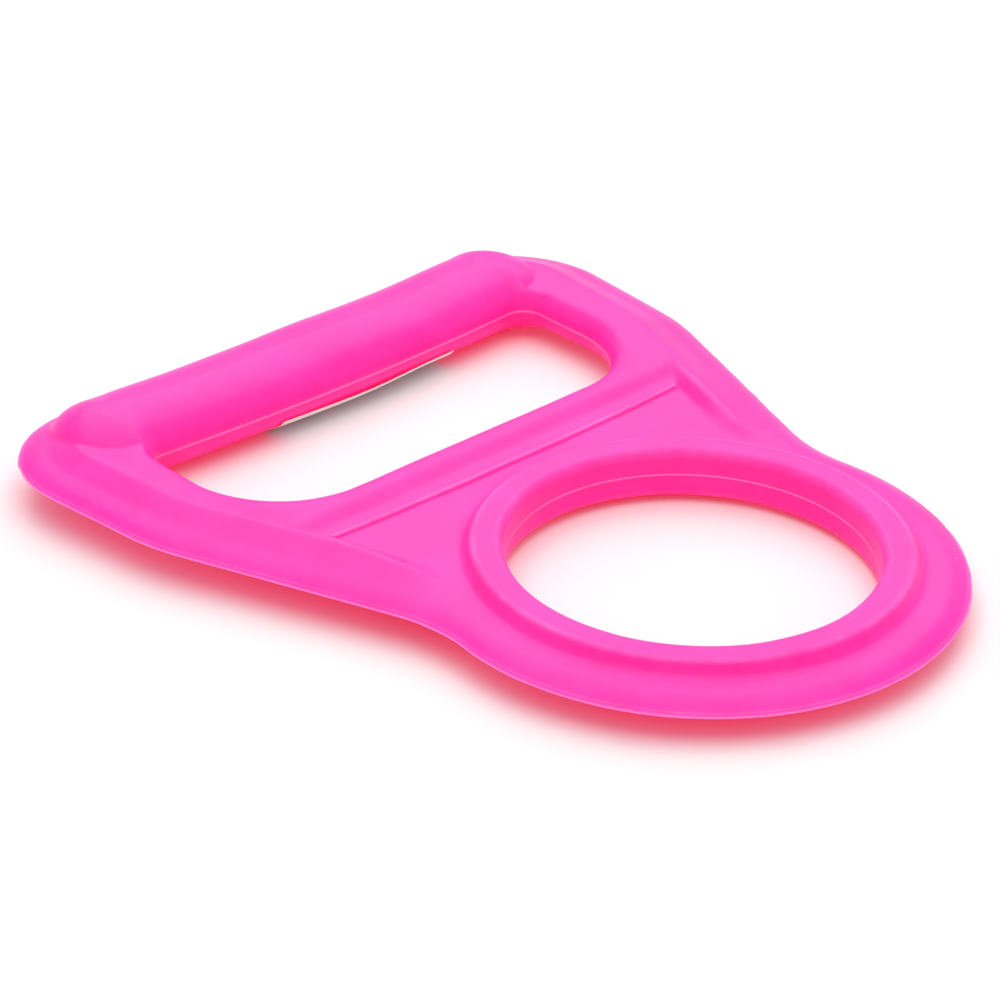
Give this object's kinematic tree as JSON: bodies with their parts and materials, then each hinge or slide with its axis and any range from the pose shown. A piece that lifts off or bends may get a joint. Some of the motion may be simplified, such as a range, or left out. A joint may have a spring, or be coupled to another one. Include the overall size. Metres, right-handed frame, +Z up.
{
  "type": "water bottle carrying handle",
  "caption": "Ring-and-grip carrying handle for a large water-cooler bottle: neck ring with raised collar, flared frame with finger window, crowned grip bar and a small stuck-on label.",
  "frame": {"origin": "centre of the neck bore on the moulding's parting plane", "axes": "+Z up along the bore axis, +Y from the ring towards the grip, +X across"},
  "size_m": [0.1158, 0.1381, 0.0125],
  "materials": {
    "moulding": "fluorescent pink, slightly translucent, semi-gloss as moulded",
    "label": "plain white coated paper"
  },
  "bodies": {
    "root": {"handle_moulding": "moulding", "grip_label": "label"}
  },
  "joints": []
}
